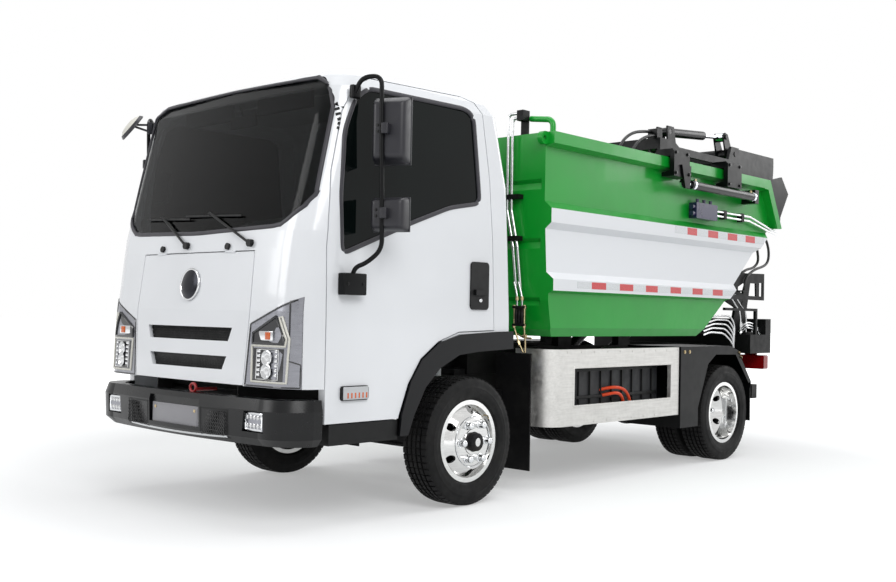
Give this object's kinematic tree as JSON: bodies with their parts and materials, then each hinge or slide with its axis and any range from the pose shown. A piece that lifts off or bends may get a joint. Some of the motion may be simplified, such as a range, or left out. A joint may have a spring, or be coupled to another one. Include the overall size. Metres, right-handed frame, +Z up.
{
  "type": "garbage truck",
  "caption": "Compact cab-over refuse truck: open tipping hopper with a sliding carriage and swinging compaction shovel, opening doors and front flap, steered wheels and twin rear wheels.",
  "frame": {"origin": "ground level below the centre of the truck's bounding box", "axes": "+Y points to the rear of the truck, +X to its left-hand side as the driver sits, +Z up"},
  "size_m": [2.44, 5.4956, 2.628],
  "materials": {
    "white_paint": "gloss",
    "green_paint": "gloss",
    "black_paint": "gloss",
    "frame_black": "satin",
    "brushed_aluminium": "brushed",
    "polished_aluminium": "polished",
    "black_plastic": "matte",
    "bumper_plastic": "gloss",
    "grey_plastic": "matte",
    "mirror_plastic": "matte",
    "tyre_rubber": "matte",
    "sheet_rubber": "matte",
    "hose_rubber": "satin",
    "window_glass": "clear",
    "lamp_glass": "clear",
    "red_glass": "clear",
    "rod_chrome": "polished",
    "pipe_steel": "drawn",
    "valve_paint": "satin",
    "seat_fabric": "woven",
    "cast_steel": "rough",
    "spring_steel": "oiled"
  },
  "bodies": {
    "chassis": {"chassis_rails": "frame_black", "crossmembers": "frame_black", "hopper_rests": "frame_black", "front_axle": "cast_steel", "rear_axle": "cast_steel", "leaf_springs": "spring_steel", "battery_packs": "grey_plastic", "hydraulic_pack": "black_paint", "side_guards": "brushed_aluminium", "rear_fenders": "black_paint", "rear_frame": "frame_black", "cab_shell": "white_paint", "cab_glass": "window_glass", "front_lamps": "lamp_glass", "rear_lamps": "red_glass", "wipers": "black_plastic", "wheel_arch_flares": "black_plastic", "cab_steps": "black_plastic", "front_mudflaps": "sheet_rubber", "bumper": "bumper_plastic", "dashboard": "grey_plastic", "steering_wheel": "black_plastic", "seats": "seat_fabric"},
    "door_left": {"door_left": "white_paint", "door_glass_left": "window_glass", "door_fittings_left": "black_plastic", "mirror_left": "mirror_plastic"},
    "knuckle_left": {"knuckle_left": "cast_steel"},
    "front_wheel_left": {"front_tyre_left": "tyre_rubber", "front_rim_left": "polished_aluminium"},
    "rear_wheels_left": {"rear_tyres_left": "tyre_rubber", "rear_rims_left": "polished_aluminium"},
    "door_right": {"door_right": "white_paint", "door_glass_right": "window_glass", "door_fittings_right": "black_plastic", "mirror_right": "mirror_plastic", "front_mirror": "mirror_plastic"},
    "knuckle_right": {"knuckle_right": "cast_steel"},
    "front_wheel_right": {"front_tyre_right": "tyre_rubber", "front_rim_right": "polished_aluminium"},
    "rear_wheels_right": {"rear_tyres_right": "tyre_rubber", "rear_rims_right": "polished_aluminium"},
    "front_flap": {"front_flap": "white_paint", "flap_grille": "black_plastic"},
    "hopper": {"hopper_shell": "green_paint", "rear_deflectors": "black_paint", "hopper_hinges": "frame_black", "side_cylinders": "black_paint", "pipe_brackets": "frame_black", "steel_pipes": "pipe_steel", "valve_block": "valve_paint", "rear_hoses": "hose_rubber"},
    "packer_carriage": {"packer_carriage": "black_paint", "packer_rods": "rod_chrome", "carriage_hoses": "hose_rubber"},
    "shovel": {"shovel": "black_paint"},
    "shovel_cylinders": {"shovel_cylinders": "black_paint"},
    "shovel_rods": {"shovel_rods": "rod_chrome"},
    "lift_cylinders": {"lift_cylinders": "black_paint"},
    "lift_rods": {"lift_rods": "rod_chrome"}
  },
  "joints": [
    {"name": "steer_left", "type": "hinge", "parent": "chassis", "child": "knuckle_left", "pos_m": [0.66, -1.33, 0.376], "axis": [0, 0, 1], "range_deg": [-32, 32]},
    {"name": "front_wheel_spin_left", "type": "hinge", "parent": "knuckle_left", "child": "front_wheel_left", "pos_m": [0.825, -1.33, 0.376], "axis": [1, 0, 0], "continuous": true},
    {"name": "rear_wheels_spin_left", "type": "hinge", "parent": "chassis", "child": "rear_wheels_left", "pos_m": [0.825, 1.72, 0.376], "axis": [1, 0, 0], "continuous": true},
    {"name": "door_open_left", "type": "hinge", "parent": "chassis", "child": "door_left", "pos_m": [0.933, -2.467, 1.4], "axis": [0, 0, -1], "range_deg": [0, 68]},
    {"name": "steer_right", "type": "hinge", "parent": "chassis", "child": "knuckle_right", "pos_m": [-0.66, -1.33, 0.376], "axis": [0, 0, 1], "range_deg": [-32, 32]},
    {"name": "front_wheel_spin_right", "type": "hinge", "parent": "knuckle_right", "child": "front_wheel_right", "pos_m": [-0.825, -1.33, 0.376], "axis": [1, 0, 0], "continuous": true},
    {"name": "rear_wheels_spin_right", "type": "hinge", "parent": "chassis", "child": "rear_wheels_right", "pos_m": [-0.825, 1.72, 0.376], "axis": [1, 0, 0], "continuous": true},
    {"name": "door_open_right", "type": "hinge", "parent": "chassis", "child": "door_right", "pos_m": [-0.933, -2.467, 1.4], "axis": [0, 0, 1], "range_deg": [0, 68]},
    {"name": "flap_open", "type": "hinge", "parent": "chassis", "child": "front_flap", "pos_m": [0, -2.627, 1.429], "axis": [-1, 0, 0], "range_deg": [0, 75]},
    {"name": "hopper_tip", "type": "hinge", "parent": "chassis", "child": "hopper", "pos_m": [0, 2.47, 1.25], "axis": [-1, 0, 0], "range_deg": [0, 80]},
    {"name": "lift_cylinders_turn", "type": "hinge", "parent": "chassis", "child": "lift_cylinders", "pos_m": [0, 0.87, 0.66], "axis": [-1, 0, 0], "range_deg": [-6, 6]},
    {"name": "lift_rods_out", "type": "slide", "parent": "lift_cylinders", "child": "lift_rods", "axis": [0, 0.8379, 0.5458], "range_m": [0, 0.6746]},
    {"name": "carriage_slide", "type": "slide", "parent": "hopper", "child": "packer_carriage", "axis": [0, -1, 0], "range_m": [0, 0.9]},
    {"name": "shovel_swing", "type": "hinge", "parent": "packer_carriage", "child": "shovel", "pos_m": [0, 1.87, 2.455], "axis": [1, 0, 0], "range_deg": [-52, 50]},
    {"name": "shovel_cylinders_turn", "type": "hinge", "parent": "packer_carriage", "child": "shovel_cylinders", "pos_m": [0, 0.958, 2.518], "axis": [1, 0, 0], "range_deg": [-8, 8]},
    {"name": "shovel_rods_out", "type": "slide", "parent": "shovel_cylinders", "child": "shovel_rods", "axis": [0, 0.9962, 0.0865], "range_m": [-0.1163, 0.1209]}
  ],
  "couplings": [
    {"joint": "steer_right", "follows": "steer_left", "ratio": 1},
    {"joint": "lift_cylinders_turn", "follows": "hopper_tip", "ratio": -0.01569},
    {"joint": "lift_rods_out", "follows": "hopper_tip", "m_per_rad": 0.48174},
    {"joint": "shovel_cylinders_turn", "follows": "shovel_swing", "ratio": -0.05266},
    {"joint": "shovel_rods_out", "follows": "shovel_swing", "m_per_rad": -0.12987}
  ]
}
